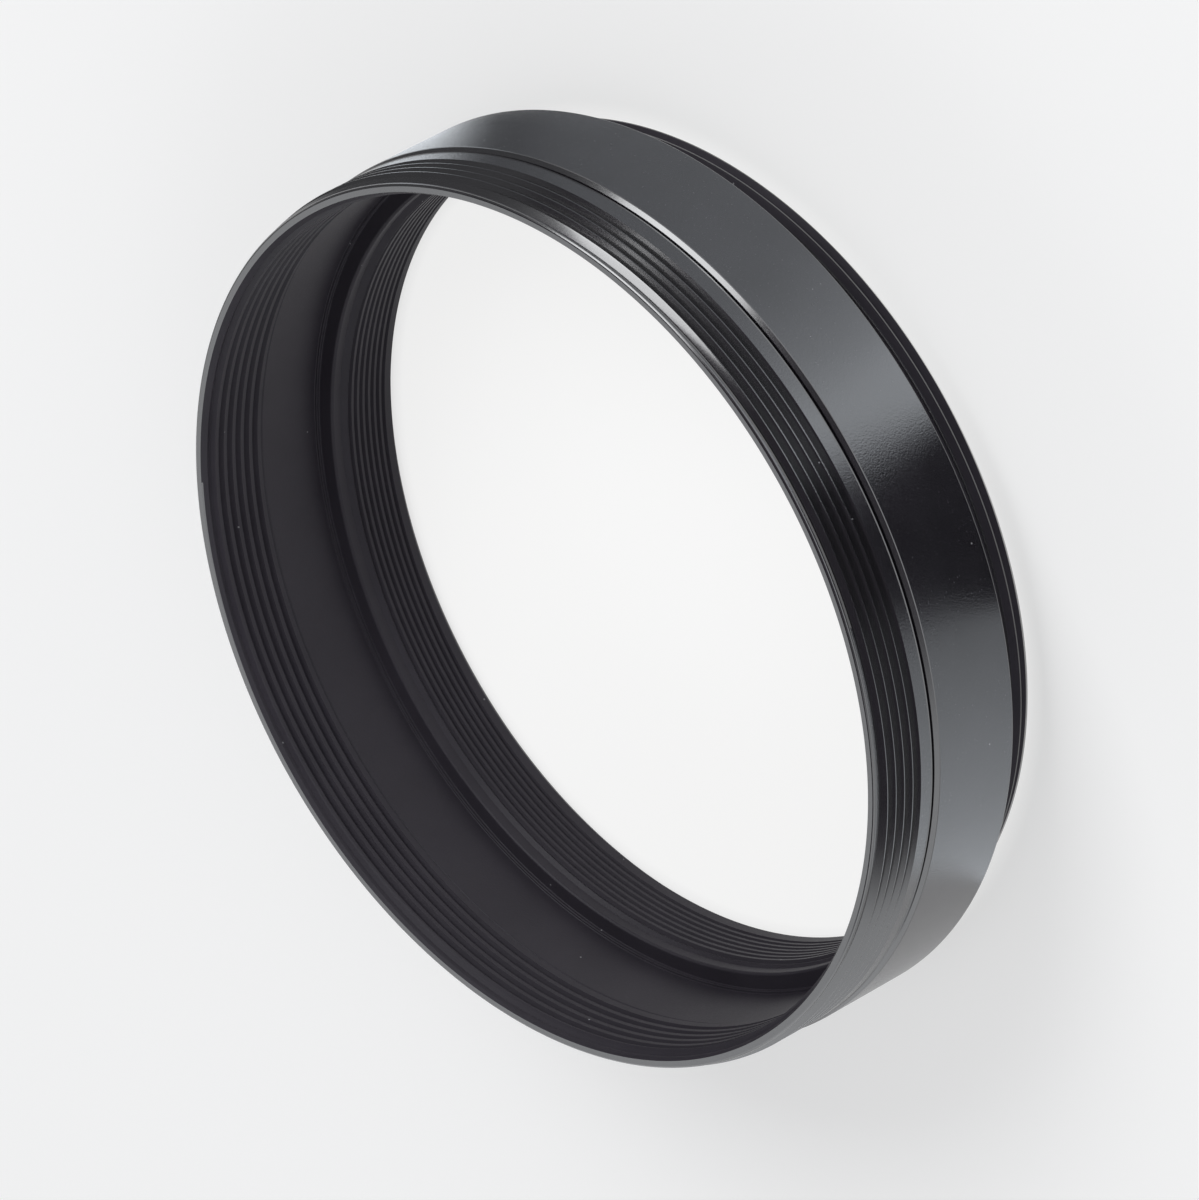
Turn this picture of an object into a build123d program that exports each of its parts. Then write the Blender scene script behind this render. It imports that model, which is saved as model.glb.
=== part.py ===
from build123d import *
import os

# A short lens tube, turned from one piece of aluminium: a thin ring with a male and
# a female thread at its front, a plain barrel, and a smaller threaded collar with a
# finer female thread inside it at the rear. All sizes are in millimetres.
# The tube stands on its rear end face: +Z is its axis, and the origin is the centre
# of that face. The front male thread is cut as rings of its own section. The other
# threads are plain cylinders here, at the crest diameter of each.

# The barrel, and the lengths along the axis
BARREL_DIAMETER = 60.3
FRONT_SLEEVE_LENGTH = 5.16      # front face to the front wall of the barrel
BARREL_LENGTH = 6.90
REAR_COLLAR_LENGTH = 3.38       # rear wall of the barrel to the rear face

# Threads: pitches, and how far a female thread's crests stand in from its root
COARSE_PITCH = 0.75
FINE_PITCH = 0.5
FEMALE_THREAD_DEPTH = 0.541     # times the pitch

# Front male thread: V grooves a pitch apart, then a plain land up to the lip
MALE_THREAD_DEPTH = 0.613       # times the pitch
MALE_GROOVES = 4
MALE_GROOVE_WIDTH = 0.59
FIRST_GROOVE_MIDDLE = 1.19      # front face to the middle of the first groove

# Radial steps and walls, each from one surface of revolution to the next
MALE_CREST_STEP = 0.15          # barrel to the front male thread's crests
FRONT_WALL = 0.86               # male crests to the front female thread's root
FRONT_ENTRY_STEP = 0.06         # that root to the mouth of its entry bevel
BORE_STEP = 0.106               # front female thread's crests to the smooth bore
SEAT_STEP = 0.20                # smooth bore to the first seat
LEDGE_STEP = 1.15               # first seat to the relief behind it
RELIEF_STEP = 0.10              # relief to the rear female thread's root
REAR_WALL = 1.10                # that root to the rear collar's crests

# Front rim: a narrow face, a small pilot step and the thread's bevel behind it
PILOT_STEP = 0.27               # male crests to the pilot
PILOT_LENGTH = 0.26
PILOT_BEVEL = 0.12
PILOT_REAR_SLOPE = 0.02
THREAD_BEVEL = 0.53

# Seam between the front sleeve and the barrel
SEAM_WIDTH = 0.25
SEAM_DEPTH = 0.60               # below the male crests
LIP_RISE = 0.10
BARREL_FRONT_BEVEL = 0.27

# Rear: shoulder, undercut and threaded collar
BARREL_REAR_BEVEL = 0.10
UNDERCUT_WIDTH = 1.90           # rear wall of the barrel to the collar's crests
UNDERCUT_DEPTH = 0.60           # below the collar's crests
UNDERCUT_FLANK = 0.44
COLLAR_BEVEL = 0.32
REAR_ENTRY_BEVEL = 0.45

# Inside: the front thread's end, and the two steps down to the rear thread
FRONT_THREAD_END = 4.90         # front face to the run-out groove
RUNOUT_WIDTH = 0.24
RUNOUT_DEPTH = 0.20
FIRST_SEAT_DEPTH = 9.83         # front face to the first seat
SEAT_LENGTH = 0.22
RELIEF_LENGTH = 0.75
RELIEF_BEVEL = 0.13

# Sizes that follow from those above
TOTAL_LENGTH = FRONT_SLEEVE_LENGTH + BARREL_LENGTH + REAR_COLLAR_LENGTH
BARREL_RADIUS = BARREL_DIAMETER / 2
MALE_CREST_RADIUS = BARREL_RADIUS - MALE_CREST_STEP
FRONT_ROOT_RADIUS = MALE_CREST_RADIUS - FRONT_WALL
FRONT_CREST_RADIUS = FRONT_ROOT_RADIUS - FEMALE_THREAD_DEPTH * COARSE_PITCH
FRONT_ENTRY_RADIUS = FRONT_ROOT_RADIUS + FRONT_ENTRY_STEP
BORE_RADIUS = FRONT_CREST_RADIUS + BORE_STEP
SEAT_RADIUS = BORE_RADIUS - SEAT_STEP
RELIEF_RADIUS = SEAT_RADIUS - LEDGE_STEP
REAR_ROOT_RADIUS = RELIEF_RADIUS - RELIEF_STEP
REAR_CREST_RADIUS = REAR_ROOT_RADIUS - FEMALE_THREAD_DEPTH * FINE_PITCH
COLLAR_RADIUS = REAR_ROOT_RADIUS + REAR_WALL


def behind_front(depth):
    """Height of what lies a given depth behind the front face."""
    return TOTAL_LENGTH - depth


def male_thread_grooves():
    """The V grooves of the front male thread, from the front backwards."""
    root = MALE_CREST_RADIUS - MALE_THREAD_DEPTH * COARSE_PITCH
    half = MALE_GROOVE_WIDTH / 2
    points = []
    for groove in range(MALE_GROOVES):
        middle = FIRST_GROOVE_MIDDLE + groove * COARSE_PITCH
        points.append((MALE_CREST_RADIUS, behind_front(middle - half)))
        points.append((root, behind_front(middle)))
        points.append((MALE_CREST_RADIUS, behind_front(middle + half)))
    return points


def front_outline():
    """Outside of the front sleeve, from its front face down into the seam groove."""
    pilot = MALE_CREST_RADIUS - PILOT_STEP
    lip = MALE_CREST_RADIUS + LIP_RISE
    seam_bottom = MALE_CREST_RADIUS - SEAM_DEPTH
    bevel_start = PILOT_LENGTH + PILOT_REAR_SLOPE
    sleeve_end = FRONT_SLEEVE_LENGTH - SEAM_WIDTH
    return [
        (pilot - PILOT_BEVEL, behind_front(0)),
        (pilot, behind_front(PILOT_BEVEL)),
        (pilot, behind_front(PILOT_LENGTH)),
        (MALE_CREST_RADIUS - THREAD_BEVEL, behind_front(bevel_start)),
        (MALE_CREST_RADIUS, behind_front(bevel_start + THREAD_BEVEL)),
        *male_thread_grooves(),
        (MALE_CREST_RADIUS, behind_front(sleeve_end - LIP_RISE)),
        (lip, behind_front(sleeve_end)),
        (seam_bottom, behind_front(sleeve_end)),
        (seam_bottom, behind_front(FRONT_SLEEVE_LENGTH)),
    ]


def barrel_outline():
    """Outside of the barrel, from its front bevel to its rear wall."""
    front_wall = behind_front(FRONT_SLEEVE_LENGTH)
    return [
        (BARREL_RADIUS - BARREL_FRONT_BEVEL, front_wall),
        (BARREL_RADIUS, front_wall - BARREL_FRONT_BEVEL),
        (BARREL_RADIUS, REAR_COLLAR_LENGTH + BARREL_REAR_BEVEL),
        (BARREL_RADIUS - BARREL_REAR_BEVEL, REAR_COLLAR_LENGTH),
    ]


def collar_outline():
    """Outside of the rear collar, from the bottom of its undercut to the rear face."""
    bottom = COLLAR_RADIUS - UNDERCUT_DEPTH
    crest_start = REAR_COLLAR_LENGTH - UNDERCUT_WIDTH
    return [
        (bottom, REAR_COLLAR_LENGTH),
        (bottom, crest_start + UNDERCUT_FLANK),
        (COLLAR_RADIUS, crest_start),
        (COLLAR_RADIUS, COLLAR_BEVEL),
        (COLLAR_RADIUS - COLLAR_BEVEL, 0),
    ]


def inside_outline():
    """Inside of the tube, from the rear face up to the front face."""
    relief_start = FIRST_SEAT_DEPTH + SEAT_LENGTH
    relief_end = relief_start + RELIEF_LENGTH
    rear_thread_start = relief_end + RELIEF_RADIUS - REAR_CREST_RADIUS
    runout_end = FRONT_THREAD_END + RUNOUT_WIDTH
    runout_bottom = FRONT_CREST_RADIUS + RUNOUT_DEPTH
    entry_depth = FRONT_ENTRY_RADIUS - FRONT_CREST_RADIUS
    return [
        (REAR_CREST_RADIUS + REAR_ENTRY_BEVEL, 0),
        (REAR_CREST_RADIUS, REAR_ENTRY_BEVEL),
        (REAR_CREST_RADIUS, behind_front(rear_thread_start)),
        (RELIEF_RADIUS, behind_front(relief_end)),
        (RELIEF_RADIUS, behind_front(relief_start + RELIEF_BEVEL)),
        (RELIEF_RADIUS + RELIEF_BEVEL, behind_front(relief_start)),
        (SEAT_RADIUS, behind_front(relief_start)),
        (SEAT_RADIUS, behind_front(FIRST_SEAT_DEPTH)),
        (BORE_RADIUS, behind_front(FIRST_SEAT_DEPTH)),
        (BORE_RADIUS, behind_front(runout_end)),
        (runout_bottom, behind_front(runout_end - RUNOUT_WIDTH / 2)),
        (FRONT_CREST_RADIUS, behind_front(FRONT_THREAD_END)),
        (FRONT_CREST_RADIUS, behind_front(entry_depth)),
        (FRONT_ENTRY_RADIUS, behind_front(0)),
    ]


def turned_ring():
    """The whole tube: its section, revolved about the axis."""
    section = front_outline() + barrel_outline() + collar_outline() + inside_outline()
    with BuildPart() as ring:
        with BuildSketch(Plane.XZ):
            with BuildLine():
                Polyline(*section, close=True)
            make_face()
        revolve(axis=Axis.Z)
    return ring.part


os.makedirs("parts", exist_ok=True)
tube_body = turned_ring()
tube_body.label = "tube_body"
export_step(tube_body, "parts/tube_body.step")
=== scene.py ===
import math

import bmesh
import bpy
from mathutils import Matrix, Vector


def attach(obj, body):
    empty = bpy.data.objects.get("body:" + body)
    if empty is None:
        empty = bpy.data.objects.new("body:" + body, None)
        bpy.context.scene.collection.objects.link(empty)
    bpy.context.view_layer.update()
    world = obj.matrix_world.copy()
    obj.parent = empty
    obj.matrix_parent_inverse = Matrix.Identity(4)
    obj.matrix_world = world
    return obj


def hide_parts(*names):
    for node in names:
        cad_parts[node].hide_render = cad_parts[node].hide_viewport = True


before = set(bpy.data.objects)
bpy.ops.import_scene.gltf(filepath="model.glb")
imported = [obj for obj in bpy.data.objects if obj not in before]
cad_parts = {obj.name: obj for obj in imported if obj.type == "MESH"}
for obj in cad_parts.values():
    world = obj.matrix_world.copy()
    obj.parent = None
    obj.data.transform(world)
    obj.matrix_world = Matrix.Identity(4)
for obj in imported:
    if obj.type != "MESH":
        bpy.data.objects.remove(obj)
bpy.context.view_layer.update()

# A short lens tube: one ring turned from black anodised aluminium, with its threads,
# its finish, the light and the camera. The ring's section is in millimetres: a radius
# is from the axis and a depth is behind the front face. Angles along a thread are in
# turns, clockwise from above.
MM = 0.001
COLUMNS = 480                   # round the ring
CORNER_EASE = 0.035             # from a turned corner to each end of the flat on it
LONGEST_EASE = 0.3              # as a share of the stretch beside the corner
SHARP_ANGLE = 12                # degrees
MERGE_DISTANCE = 2e-7           # metres
ROUNDING = 1e-9

# Radii, from the outside in
BARREL_RADIUS = 30.15
LIP = 30.06
MALE_CREST = 30.0
PILOT = 29.73
SEAM_BOTTOM = 29.40
FRONT_ENTRY = 29.20
RUNOUT_BOTTOM = 28.934
BORE = 28.84
FRONT_CREST = 28.734
SEAT = 28.64
COLLAR = 28.49
UNDERCUT_BOTTOM = 27.89
RELIEF = 27.49
REAR_CREST = 27.12

# Depths of the outside, from the front back, with its bevels
PILOT_BEVEL = 0.12
PILOT_END = 0.26
THREAD_BEVEL_START = 0.28
THREAD_BEVEL = 0.53
LAND_END = 4.79
SEAM_START = 4.87
BARREL_START = 5.16
BARREL_FRONT_BEVEL = 0.27
BARREL_END = 12.06
BARREL_REAR_BEVEL = 0.10
UNDERCUT_END = 13.52
COLLAR_START = 13.96
COLLAR_BEVEL = 0.32
TOTAL_LENGTH = 15.44

# Depths of the inside, from the rear forward, with its bevels
REAR_ENTRY_BEVEL = 0.45
RELIEF_END = 10.80
RELIEF_START = 10.05
RELIEF_BEVEL = 0.13
SEAT_START = 9.83
RUNOUT_END = 5.14
RUNOUT_MIDDLE = 5.02
FRONT_THREAD_END = 4.90
FRONT_ENTRY_LENGTH = 0.86

COARSE_PITCH = 0.75
FINE_PITCH = 0.5

# A thread is cut inwards (side -1) or outwards (side 1) from its crest radius. Its cut,
# its flat crest and its flat root are shares of the pitch. The reference is the depth
# of crest 0 at angle 0. The cut fades out along the helix between two turn counts.
MALE_THREAD = dict(
    side=-1, crest=MALE_CREST, pitch=COARSE_PITCH, cut=0.613, crest_share=0.09,
    root_share=0.167, reference=0.873, turns=(-1, 5), fade_out=(3.85, 4.10))
FRONT_THREAD = dict(
    side=1, crest=FRONT_CREST, pitch=COARSE_PITCH, cut=0.43, crest_share=0.38,
    root_share=0.125, reference=-0.175, turns=(-1, 6), fade_out=(6.25, 6.55))
REAR_THREAD = dict(
    side=1, crest=REAR_CREST, pitch=FINE_PITCH, cut=0.41, crest_share=0.40,
    root_share=0.125, reference=10.766, turns=(-1, 8), fade_out=(7.35, 7.75))
COLLAR_THREAD = dict(
    side=-1, crest=COLLAR, pitch=COARSE_PITCH, cut=0.613, crest_share=0.125,
    root_share=0.167, reference=13.71, turns=(-2, 2), fade_out=(8.0, 9.0))


# ---- Section ---------------------------------------------------------------------

def front_corners():
    """Outside, from the front face to where the male thread's stretch begins."""
    return [(PILOT - PILOT_BEVEL, 0.0), (PILOT, PILOT_BEVEL), (PILOT, PILOT_END)]


def male_stretch():
    """Plain outline of the front sleeve, which the male thread is cut into."""
    return [
        (MALE_CREST - THREAD_BEVEL, THREAD_BEVEL_START),
        (MALE_CREST, THREAD_BEVEL_START + THREAD_BEVEL),
        (MALE_CREST, LAND_END),
    ]


def seam_corners():
    """The lip, the seam groove, the barrel and the wall of the undercut behind it."""
    return [
        (LIP, SEAM_START),
        (SEAM_BOTTOM, SEAM_START),
        (SEAM_BOTTOM, BARREL_START),
        (BARREL_RADIUS - BARREL_FRONT_BEVEL, BARREL_START),
        (BARREL_RADIUS, BARREL_START + BARREL_FRONT_BEVEL),
        (BARREL_RADIUS, BARREL_END - BARREL_REAR_BEVEL),
        (BARREL_RADIUS - BARREL_REAR_BEVEL, BARREL_END),
        (UNDERCUT_BOTTOM, BARREL_END),
    ]


def collar_stretch():
    """Plain outline of the rear collar, which its short thread is cut into."""
    return [
        (UNDERCUT_BOTTOM, UNDERCUT_END),
        (COLLAR, COLLAR_START),
        (COLLAR, TOTAL_LENGTH - COLLAR_BEVEL),
    ]


def rear_corners():
    """The rear face, between the collar's bevel and the bevel at its inner edge."""
    return [
        (COLLAR - COLLAR_BEVEL, TOTAL_LENGTH),
        (REAR_CREST + REAR_ENTRY_BEVEL, TOTAL_LENGTH),
    ]


def rear_stretch():
    """Inside, from the rear bevel forward to the relief."""
    return [
        (REAR_CREST, TOTAL_LENGTH - REAR_ENTRY_BEVEL),
        (REAR_CREST, RELIEF_END + RELIEF - REAR_CREST),
        (RELIEF, RELIEF_END),
    ]


def middle_corners():
    """The relief, the two steps, the smooth bore and the run-out groove."""
    return [
        (RELIEF, RELIEF_START + RELIEF_BEVEL),
        (RELIEF + RELIEF_BEVEL, RELIEF_START),
        (SEAT, RELIEF_START),
        (SEAT, SEAT_START),
        (BORE, SEAT_START),
        (BORE, RUNOUT_END),
        (RUNOUT_BOTTOM, RUNOUT_MIDDLE),
    ]


def front_stretch():
    """Inside of the front rim, from the thread's end forward to the front face."""
    return [
        (FRONT_CREST, FRONT_THREAD_END),
        (FRONT_CREST, FRONT_ENTRY_LENGTH),
        (FRONT_ENTRY, 0.0),
    ]


def eased(before, corner, after):
    """A corner as two points, a little way along the stretches on its two sides."""
    points = []
    for other in (before, after):
        run = math.dist(corner, other)
        share = min(CORNER_EASE, LONGEST_EASE * run) / run
        points.append(tuple(c + (o - c) * share for c, o in zip(corner, other)))
    return points


def plain_points(before, corners, after):
    """The corners of a plain part of the outline, each one eased."""
    chain = [before] + corners + [after]
    points = []
    for k in range(1, len(chain) - 1):
        points += eased(chain[k - 1], chain[k], chain[k + 1])
    return points


def plain_radius(stretch, depth):
    """Radius of a plain stretch of outline at a depth."""
    for (r0, d0), (r1, d1) in zip(stretch, stretch[1:]):
        if min(d0, d1) <= depth <= max(d0, d1):
            break
    return r0 + (r1 - r0) * (depth - d0) / (d1 - d0)


def thread_radius(thread, depth, turn):
    """Radius of the thread's own surface at a depth and an angle."""
    along = (depth - thread["reference"]) / thread["pitch"] - turn
    whole = math.floor(along + ROUNDING)
    from_crest = min(along - whole, 1 - along + whole)
    flank = (1 - thread["crest_share"] - thread["root_share"]) / 2
    share = (from_crest - thread["crest_share"] / 2) / flank
    start, end = thread["fade_out"]
    fade = (end - (whole + 0.5 + turn)) / (end - start)
    cut = thread["cut"] * thread["pitch"] * min(max(share, 0), 1) * min(max(fade, 0), 1)
    return thread["crest"] + thread["side"] * cut


def thread_depths(thread, stretch, turn):
    """Depths of the thread's edges within a stretch, and of the stretch's corners."""
    corners = [depth for radius, depth in stretch]
    low, high = min(corners), max(corners)
    crest, root = thread["crest_share"] / 2, 0.5 - thread["root_share"] / 2
    first, last = thread["turns"]
    depths = list(corners)
    for k in range(first, last + 2):
        for offset in (-root, -crest, crest, root):
            depth = thread["reference"] + (k + turn + offset) * thread["pitch"]
            depths.append(min(max(depth, low), high))
    return sorted(depths, reverse=corners[0] > corners[-1])


def threaded(thread, stretch, turn):
    """The points of a threaded stretch of outline at one angle."""
    pick = min if thread["side"] < 0 else max
    points = []
    for depth in thread_depths(thread, stretch, turn):
        plain = plain_radius(stretch, depth)
        points.append((pick(plain, thread_radius(thread, depth, turn)), depth))
    return points


def section_at(turn):
    """The whole closed section at one angle, as (radius, depth) points."""
    male = threaded(MALE_THREAD, male_stretch(), turn)
    collar = threaded(COLLAR_THREAD, collar_stretch(), turn)
    rear = threaded(REAR_THREAD, rear_stretch(), turn)
    front = threaded(FRONT_THREAD, front_stretch(), turn)
    return (
        plain_points(front_stretch()[-1], front_corners(), male_stretch()[0]) + male
        + plain_points(male_stretch()[-1], seam_corners(), collar_stretch()[0]) + collar
        + plain_points(collar_stretch()[-1], rear_corners(), rear_stretch()[0]) + rear
        + plain_points(rear_stretch()[-1], middle_corners(), front_stretch()[0]) + front
    )


# ---- Shader nodes ----------------------------------------------------------------

def node(tree, kind, **values):
    """Adds a shader node and sets its sockets and properties."""
    made = tree.nodes.new(kind)
    for name, value in values.items():
        if name in made.inputs:
            made.inputs[name].default_value = value
        else:
            setattr(made, name, value)
    return made


def map_range(tree, source, start, end, low, high, **values):
    """Maps a socket's values from one range to another."""
    made = node(tree, "ShaderNodeMapRange", **values)
    made.inputs["From Min"].default_value = start
    made.inputs["From Max"].default_value = end
    made.inputs["To Min"].default_value = low
    made.inputs["To Max"].default_value = high
    tree.links.new(source, made.inputs["Value"])
    return made.outputs["Result"]


# ---- Anodised finishes -----------------------------------------------------------

# The textures lie in the ring's own space, their scales in features to the metre
GRAIN_SCALE = 8000.0
CLOUD_SCALE = 240.0
DUST_SCALE = 420.0
DUST_COLOUR = (0.22, 0.22, 0.23, 1)
DUST_RIM, DUST_CORE = 0.030, 0.018      # distances from the middle of a speck
TONE_LOW, TONE_HIGH = 0.30, 0.72        # noise levels of the two tones
GRAIN_IN_TONE = 0.4                     # the rest of the tone follows the clouds
POLISH_LOW, POLISH_HIGH = 0.25, 0.75    # noise levels of the two roughnesses
BUMP_STRENGTH = 0.60

OUTER_IOR = 2.1
INNER_IOR = 1.33


def mottled_tone(tree, grain, cloud, tones):
    """A dark tone that varies a little with the clouds and the grain."""
    ramp = node(tree, "ShaderNodeValToRGB")
    for stop, place, tone in zip(ramp.color_ramp.elements, (TONE_LOW, TONE_HIGH), tones):
        stop.position = place
        stop.color = tone
    blend = node(tree, "ShaderNodeMix", data_type="FLOAT")
    blend.inputs[0].default_value = GRAIN_IN_TONE
    tree.links.new(cloud.outputs["Fac"], blend.inputs[2])
    tree.links.new(grain.outputs["Fac"], blend.inputs[3])
    tree.links.new(blend.outputs[0], ramp.inputs["Fac"])
    return ramp.outputs["Color"]


def dusted(tree, dust, tone):
    """A tone with a few pale specks of dust on it."""
    speck = map_range(tree, dust.outputs["Distance"], DUST_RIM, DUST_CORE, 0.0, 1.0)
    mix = node(tree, "ShaderNodeMix", data_type="RGBA")
    mix.inputs[7].default_value = DUST_COLOUR
    tree.links.new(speck, mix.inputs[0])
    tree.links.new(tone, mix.inputs[6])
    return mix.outputs[2]


def anodised_material(name, ior, tones, roughness, grain_height):
    """Black anodised aluminium with a fine grain, its height in metres, and dust."""
    material = bpy.data.materials.new(name)
    material.use_nodes = True
    tree = material.node_tree
    link = tree.links.new
    shader = tree.nodes["Principled BSDF"]
    shader.inputs["IOR"].default_value = ior
    place = node(tree, "ShaderNodeTexCoord")
    grain = node(tree, "ShaderNodeTexNoise", Scale=GRAIN_SCALE, Detail=2.0, Roughness=0.6)
    cloud = node(tree, "ShaderNodeTexNoise", Scale=CLOUD_SCALE, Detail=4.0, Roughness=0.55)
    dust = node(tree, "ShaderNodeTexVoronoi", Scale=DUST_SCALE, Randomness=1.0)
    for texture in (grain, cloud, dust):
        link(place.outputs["Object"], texture.inputs["Vector"])
    tone = mottled_tone(tree, grain, cloud, tones)
    link(dusted(tree, dust, tone), shader.inputs["Base Color"])
    polish = map_range(tree, grain.outputs["Fac"], POLISH_LOW, POLISH_HIGH, *roughness)
    link(polish, shader.inputs["Roughness"])
    bump = node(tree, "ShaderNodeBump", Strength=BUMP_STRENGTH, Distance=grain_height)
    link(grain.outputs["Fac"], bump.inputs["Height"])
    link(bump.outputs["Normal"], shader.inputs["Normal"])
    return material


def blasted_finish():
    """The satin, finely blasted finish of the barrel and the other outer cylinders."""
    tones = (0.0085, 0.0076, 0.0100, 1), (0.0185, 0.0170, 0.0215, 1)
    return anodised_material(
        "black_anodised_blasted", OUTER_IOR, tones, roughness=(0.19, 0.28),
        grain_height=0.000038)


def turned_finish():
    """The smoother turned finish of the outer threads, the bevels and the end faces."""
    tones = (0.0050, 0.0043, 0.0058, 1), (0.0110, 0.0098, 0.0124, 1)
    return anodised_material(
        "black_anodised_turned", OUTER_IOR, tones, roughness=(0.15, 0.19),
        grain_height=0.000001)


def inner_finish_with_painted_light():
    """The matt finish of the bore and the inner threads. Its base tones, lighter than the
    outer finishes', are painted light that brightens the bore, its steps and its thread
    flanks.
    """
    # Lighter than the outer tones: painted light on the bore, its steps and its thread
    # flanks.
    tones = (0.0220, 0.0192, 0.0250, 1), (0.0310, 0.0272, 0.0345, 1)
    return anodised_material(
        "black_anodised_matt_painted_light", INNER_IOR, tones, roughness=(0.46, 0.56),
        grain_height=0.000014)


# ---- Ring ------------------------------------------------------------------------

# A face's finish follows from its place and from which way it faces. Inside the tube,
# faces that face the axis or face up take the inner finish, whose lighter tone is painted
# light.
BLASTED, TURNED, INNER = 0, 1, 2
FACES_INWARDS = 0.3             # share of the normal that points to the axis
FACES_OUTWARDS = -0.98
FACES_UP = 0.5
RIM_MARGIN = 0.02               # outside the mouth of the entry bevel
MOUTH_MARGIN = 0.05             # below the front face


def ring_mesh(name):
    """The section swept round the axis, its thread edges following their helices.

    The last column lies on the first one, one pitch on along each helix, and
    tidy_mesh merges the two.
    """
    points, faces = [], []
    rows = len(section_at(0.0))
    for column in range(COLUMNS + 1):
        turn = column / COLUMNS
        angle = -2 * math.pi * (column % COLUMNS) / COLUMNS
        for radius, depth in section_at(turn):
            points.append((radius * math.cos(angle) * MM, radius * math.sin(angle) * MM,
                           (TOTAL_LENGTH - depth) * MM))
    for column in range(COLUMNS):
        here, there = column * rows, (column + 1) * rows
        for row in range(rows):
            after = (row + 1) % rows
            faces.append((here + row, here + after, there + after, there + row))
    mesh = bpy.data.meshes.new(name)
    mesh.from_pydata(points, [], faces)
    return mesh


def tidy_mesh(mesh):
    """Merges what coincides, drops empty faces, and turns every face outwards."""
    work = bmesh.new()
    work.from_mesh(mesh)
    bmesh.ops.remove_doubles(work, verts=work.verts, dist=MERGE_DISTANCE)
    bmesh.ops.dissolve_degenerate(work, edges=work.edges, dist=MERGE_DISTANCE)
    bmesh.ops.recalc_face_normals(work, faces=work.faces)
    for face in work.faces:
        face.smooth = True
    work.to_mesh(mesh)
    work.free()
    mesh.set_sharp_from_angle(angle=math.radians(SHARP_ANGLE))


def finish_of(face):
    """The bore's finish, whose lighter tone is painted light, the turned one, or that of
    the outer cylinders.
    """
    centre, normal = face.center, face.normal
    radius = math.hypot(*centre.xy)
    inwards = -(centre.x * normal.x + centre.y * normal.y) / radius
    within = radius < (FRONT_ENTRY + RIM_MARGIN) * MM
    in_tube = 0 < centre.z < (TOTAL_LENGTH - MOUTH_MARGIN) * MM
    if within and in_tube and (inwards > FACES_INWARDS or normal.z > FACES_UP):
        return INNER
    if inwards > FACES_OUTWARDS or radius < COLLAR * MM:
        return TURNED
    return BLASTED


def add_ring():
    """The ring, with a finish on each face, in the place of the CAD's own body."""
    mesh = ring_mesh("tube_body_visual")
    tidy_mesh(mesh)
    for finish in (blasted_finish(), turned_finish(), inner_finish_with_painted_light()):
        mesh.materials.append(finish)
    for face in mesh.polygons:
        face.material_index = finish_of(face)
    ring = bpy.data.objects.new("tube_body_visual", mesh)
    bpy.context.scene.collection.objects.link(ring)
    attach(ring, "root")
    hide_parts("tube_body")


# ---- Floor -----------------------------------------------------------------------

FLOOR_HALF = 3.0                # metres
FLOOR_COLOUR = (0.97, 0.97, 0.96, 1)
FLOOR_ROUGHNESS = 0.9
FLOOR_GLOW = (1.04, 1.04, 1.035, 1)
# The glow's share is larger inside the ring's foot than outside: painted light that lifts
# the ring's shade on the floor within it, and in what the bore mirrors of it.
GLOW_SHARE_OUTSIDE = 0.46
PAINTED_GLOW_SHARE_INSIDE = 0.77
GLOW_EDGES = (0.0265, 0.0295)   # metres from the axis, on both sides of the ring's foot


def glow_share(tree):
    """How much of the floor's tone is its glow, where the camera or a mirror sees it. The
    share is larger inside the ring's foot: painted light that lifts the ring's shade on
    the floor there.
    """
    path = node(tree, "ShaderNodeLightPath")
    seen = node(tree, "ShaderNodeMath", operation="MAXIMUM")
    tree.links.new(path.outputs["Is Camera Ray"], seen.inputs[0])
    tree.links.new(path.outputs["Is Glossy Ray"], seen.inputs[1])
    place = node(tree, "ShaderNodeTexCoord")
    radius = node(tree, "ShaderNodeVectorMath", operation="LENGTH")
    tree.links.new(place.outputs["Object"], radius.inputs[0])
    local = map_range(tree, radius.outputs["Value"], *GLOW_EDGES, PAINTED_GLOW_SHARE_INSIDE,
                      GLOW_SHARE_OUTSIDE)
    share = node(tree, "ShaderNodeMath", operation="MULTIPLY")
    tree.links.new(seen.outputs[0], share.inputs[0])
    tree.links.new(local, share.inputs[1])
    return share.outputs[0]


def floor_material():
    """A pale matt floor, part of whose tone is a glow; inside the ring the glow is painted
    light that lifts the ring's shade.
    """
    material = bpy.data.materials.new("pale_floor")
    material.use_nodes = True
    tree = material.node_tree
    shader = tree.nodes["Principled BSDF"]
    shader.inputs["Base Color"].default_value = FLOOR_COLOUR
    shader.inputs["Roughness"].default_value = FLOOR_ROUGHNESS
    shader.inputs["Specular IOR Level"].default_value = 0.0
    glow = node(tree, "ShaderNodeEmission", Strength=1.0)
    glow.inputs["Color"].default_value = FLOOR_GLOW
    mix = node(tree, "ShaderNodeMixShader")
    tree.links.new(glow_share(tree), mix.inputs["Fac"])
    tree.links.new(shader.outputs[0], mix.inputs[1])
    tree.links.new(glow.outputs[0], mix.inputs[2])
    tree.links.new(mix.outputs[0], tree.nodes["Material Output"].inputs["Surface"])
    return material


def add_floor():
    """A large flat floor, level with the ring's rear face."""
    mesh = bpy.data.meshes.new("floor")
    corners = [(-FLOOR_HALF, -FLOOR_HALF, 0), (FLOOR_HALF, -FLOOR_HALF, 0),
               (FLOOR_HALF, FLOOR_HALF, 0), (-FLOOR_HALF, FLOOR_HALF, 0)]
    mesh.from_pydata(corners, [], [(0, 1, 2, 3)])
    mesh.materials.append(floor_material())
    floor = bpy.data.objects.new("floor", mesh)
    bpy.context.scene.collection.objects.link(floor)


# ---- Camera ----------------------------------------------------------------------

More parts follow.
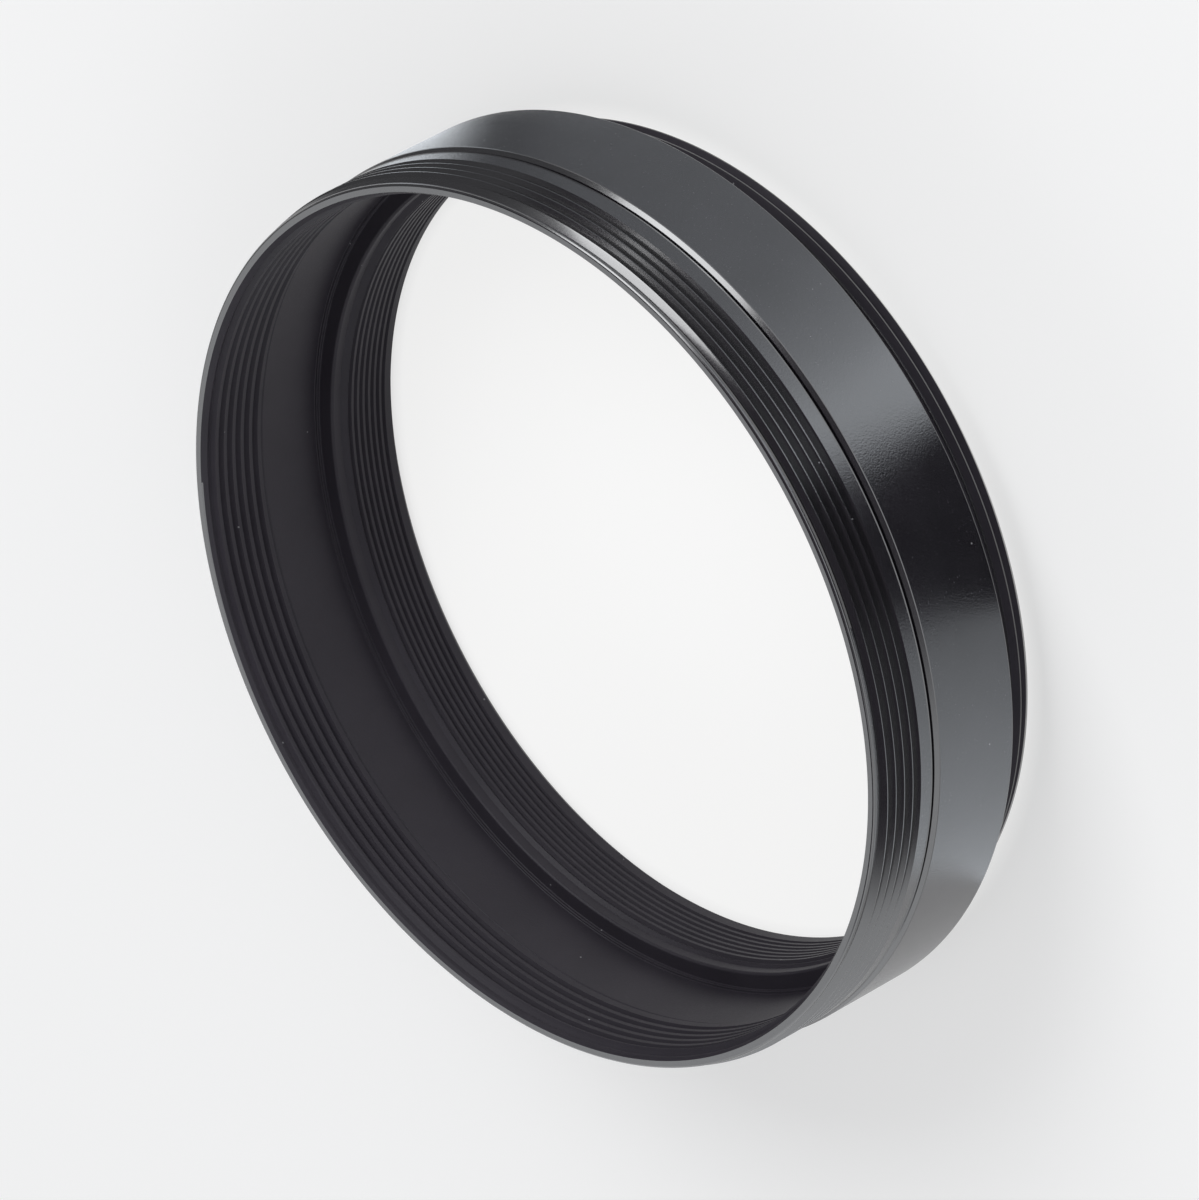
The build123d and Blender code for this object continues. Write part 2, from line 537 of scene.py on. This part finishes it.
CAMERA_DISTANCE = 26.311        # these three in barrel radii
CAMERA_RIGHT = -0.150
CAMERA_DOWN = 0.063
FOCAL_PIXELS = 12735            # in pixels of a picture of the width below
IMAGE_WIDTH = 1199
SENSOR_WIDTH = 36.0
CLIP_START, CLIP_END = 0.01, 20.0
AXIS_RIGHT = 0.6993             # the ring's axis, front to rear, in the view
AXIS_DOWN = -0.3746


def camera_axes():
    """Right, down and forward of the camera, in the ring's frame."""
    axis_forward = math.sqrt(1 - AXIS_RIGHT ** 2 - AXIS_DOWN ** 2)
    axis = Vector((AXIS_RIGHT, AXIS_DOWN, axis_forward))
    across = Vector((0, 1, 0)).cross(axis).normalized()
    third = axis.cross(across)
    return (Vector((across[k], -third[k], -axis[k])) for k in range(3))


def add_camera():
    """The camera at the photograph's viewing angle, looking down on the front rim."""
    right, down, forward = camera_axes()
    ring_front = Vector((0, 0, TOTAL_LENGTH))
    offset = right * CAMERA_RIGHT + down * CAMERA_DOWN + forward * CAMERA_DISTANCE
    data = bpy.data.cameras.new("camera")
    data.sensor_fit = "HORIZONTAL"
    data.sensor_width = SENSOR_WIDTH
    data.lens = FOCAL_PIXELS * SENSOR_WIDTH / IMAGE_WIDTH
    data.clip_start = CLIP_START
    data.clip_end = CLIP_END
    camera = bpy.data.objects.new("camera", data)
    bpy.context.scene.collection.objects.link(camera)
    turn = Matrix((right, -down, -forward)).transposed().to_4x4()
    place = (ring_front - offset * BARREL_RADIUS) * MM
    camera.matrix_world = Matrix.Translation(place) @ turn
    bpy.context.scene.camera = camera


# ---- Light -----------------------------------------------------------------------

LAMP_AIM = (0, 0, 0.008)        # metres, near the middle of the ring

HORIZON_TONE = (0.955, 0.975, 1.0, 1)
ZENITH_TONE = (0.06, 0.055, 0.065, 1)
HORIZON_TOP, ZENITH_EDGE = 0.63, 0.73   # heights on a sphere of radius 1
WORLD_STRENGTH = 1.38
DIM_SIDE = (-0.766, 0.643, 0.0)     # the side on which the surround is darker
DIM_EDGES = (0.50, 0.80)            # how far towards that side it starts and ends
DIM_LEVEL = 0.15


def add_lamp(name, azimuth, elevation, distance, size, watts, colour):
    """A square soft lamp that faces the ring, by its direction in degrees."""
    data = bpy.data.lights.new(name, "AREA")
    data.shape = "SQUARE"
    data.size = size
    data.energy = watts
    data.color = colour
    lamp = bpy.data.objects.new(name, data)
    bpy.context.scene.collection.objects.link(lamp)
    a, e = math.radians(azimuth), math.radians(elevation)
    towards = Vector((math.cos(e) * math.cos(a), math.cos(e) * math.sin(a), math.sin(e)))
    lamp.location = towards * distance + Vector(LAMP_AIM)
    lamp.rotation_euler = towards.to_track_quat("Z", "Y").to_euler()


def add_world():
    """A pale surround, darker overhead and on one side."""
    world = bpy.data.worlds.new("surround")
    world.use_nodes = True
    tree = world.node_tree
    place = node(tree, "ShaderNodeTexCoord")
    parts = node(tree, "ShaderNodeSeparateXYZ")
    blend = node(tree, "ShaderNodeValToRGB")
    low, high = blend.color_ramp.elements
    low.position, low.color = HORIZON_TOP, HORIZON_TONE
    high.position, high.color = ZENITH_EDGE, ZENITH_TONE
    tree.links.new(place.outputs["Generated"], parts.inputs["Vector"])
    tree.links.new(parts.outputs["Z"], blend.inputs["Fac"])
    towards = node(tree, "ShaderNodeVectorMath", operation="DOT_PRODUCT")
    towards.inputs[1].default_value = DIM_SIDE
    tree.links.new(place.outputs["Generated"], towards.inputs[0])
    strength = map_range(
        tree, towards.outputs["Value"], *DIM_EDGES, WORLD_STRENGTH,
        WORLD_STRENGTH * DIM_LEVEL, interpolation_type="SMOOTHSTEP")
    background = tree.nodes["Background"]
    tree.links.new(blend.outputs["Color"], background.inputs["Color"])
    tree.links.new(strength, background.inputs["Strength"])
    bpy.context.scene.world = world


# ---- Graded card -----------------------------------------------------------------

# A flat card beside the barrel that only reflections see, in place of the studio surfaces
# that the photograph's barrel mirrors. Its tones are by the angle about the axis, in
# degrees clockwise from above. They were set over trial renders, against the barrel's
# tones in the photograph.
CARD_NEAR = 31.0                # radii of its edges, in millimetres
CARD_FAR = 90.0
CARD_HEIGHT = 0.05              # above the floor, in millimetres too
CARD_STEP = 3                   # degrees from one of its corners to the next
CARD_TINT = (0.90, 0.95, 1.0)
CARD_TONES = (
    (236, 1.45), (244, 1.50), (248.5, 1.05), (252.5, 0.50), (257, 0.19), (263, 0.20),
    (273, 0.34), (297, 0.52), (312, 0.62), (321, 0.85), (328, 1.15), (334, 1.64),
    (340.0, 1.64), (344.8, 0.0), (368, 0.0), (370, 0.60), (388, 0.95),
    (402, 1.15), (414, 1.38),
)
CARD_START, CARD_END = CARD_TONES[0][0], CARD_TONES[-1][0]


def card_share(angle):
    """How far along the card an angle lies, from 0 to 1."""
    return (angle - CARD_START) / (CARD_END - CARD_START)


def card_material():
    """A glow whose tone follows the angle about the ring's axis."""
    material = bpy.data.materials.new("graded_card")
    material.use_nodes = True
    tree = material.node_tree
    place = node(tree, "ShaderNodeUVMap")
    parts = node(tree, "ShaderNodeSeparateXYZ")
    tone = node(tree, "ShaderNodeValToRGB")
    stops = tone.color_ramp.elements
    while len(stops) < len(CARD_TONES):
        stops.new(0.5)
    for stop, (angle, level) in zip(stops, CARD_TONES):
        stop.position = card_share(angle)
    for stop, (angle, level) in zip(stops, CARD_TONES):
        stop.color = [level * share for share in CARD_TINT] + [1]
    glow = node(tree, "ShaderNodeEmission", Strength=1.0)
    tree.links.new(place.outputs["UV"], parts.inputs["Vector"])
    tree.links.new(parts.outputs["X"], tone.inputs["Fac"])
    tree.links.new(tone.outputs["Color"], glow.inputs["Color"])
    tree.links.new(glow.outputs[0], tree.nodes["Material Output"].inputs["Surface"])
    return material


def card_mesh(name):
    """A flat band of the card's width, whose U is how far along it a corner lies."""
    angles = range(CARD_START, CARD_END + 1, CARD_STEP)
    corners = []
    for angle in angles:
        a = -math.radians(angle)
        for radius in (CARD_NEAR, CARD_FAR):
            corners.append((radius * math.cos(a) * MM, radius * math.sin(a) * MM,
                            CARD_HEIGHT * MM))
    faces = [(2 * k, 2 * k + 2, 2 * k + 3, 2 * k + 1) for k in range(len(angles) - 1)]
    mesh = bpy.data.meshes.new(name)
    mesh.from_pydata(corners, [], faces)
    places = mesh.uv_layers.new(name="places")
    for loop in mesh.loops:
        along = card_share(angles[loop.vertex_index // 2])
        places.data[loop.index].uv = (along, 0.5)
    return mesh


def add_card():
    """The card round half the ring, hidden from all but reflections."""
    mesh = card_mesh("graded_card")
    mesh.materials.append(card_material())
    card = bpy.data.objects.new("graded_card", mesh)
    bpy.context.scene.collection.objects.link(card)
    card.visible_camera = False
    card.visible_diffuse = False
    card.visible_shadow = False


# ---- Scene -----------------------------------------------------------------------

def plain(bounds):
    """A pair of corners as lists of numbers."""
    return [[float(value) for value in corner] for corner in bounds]


add_ring()
add_floor()
add_world()
add_camera()
add_lamp("key_lamp", azimuth=84, elevation=44, distance=0.60, size=0.32, watts=1.50,
         colour=(0.975, 0.985, 1.0))
add_card()

bpy.context.scene.view_settings.view_transform = "Standard"
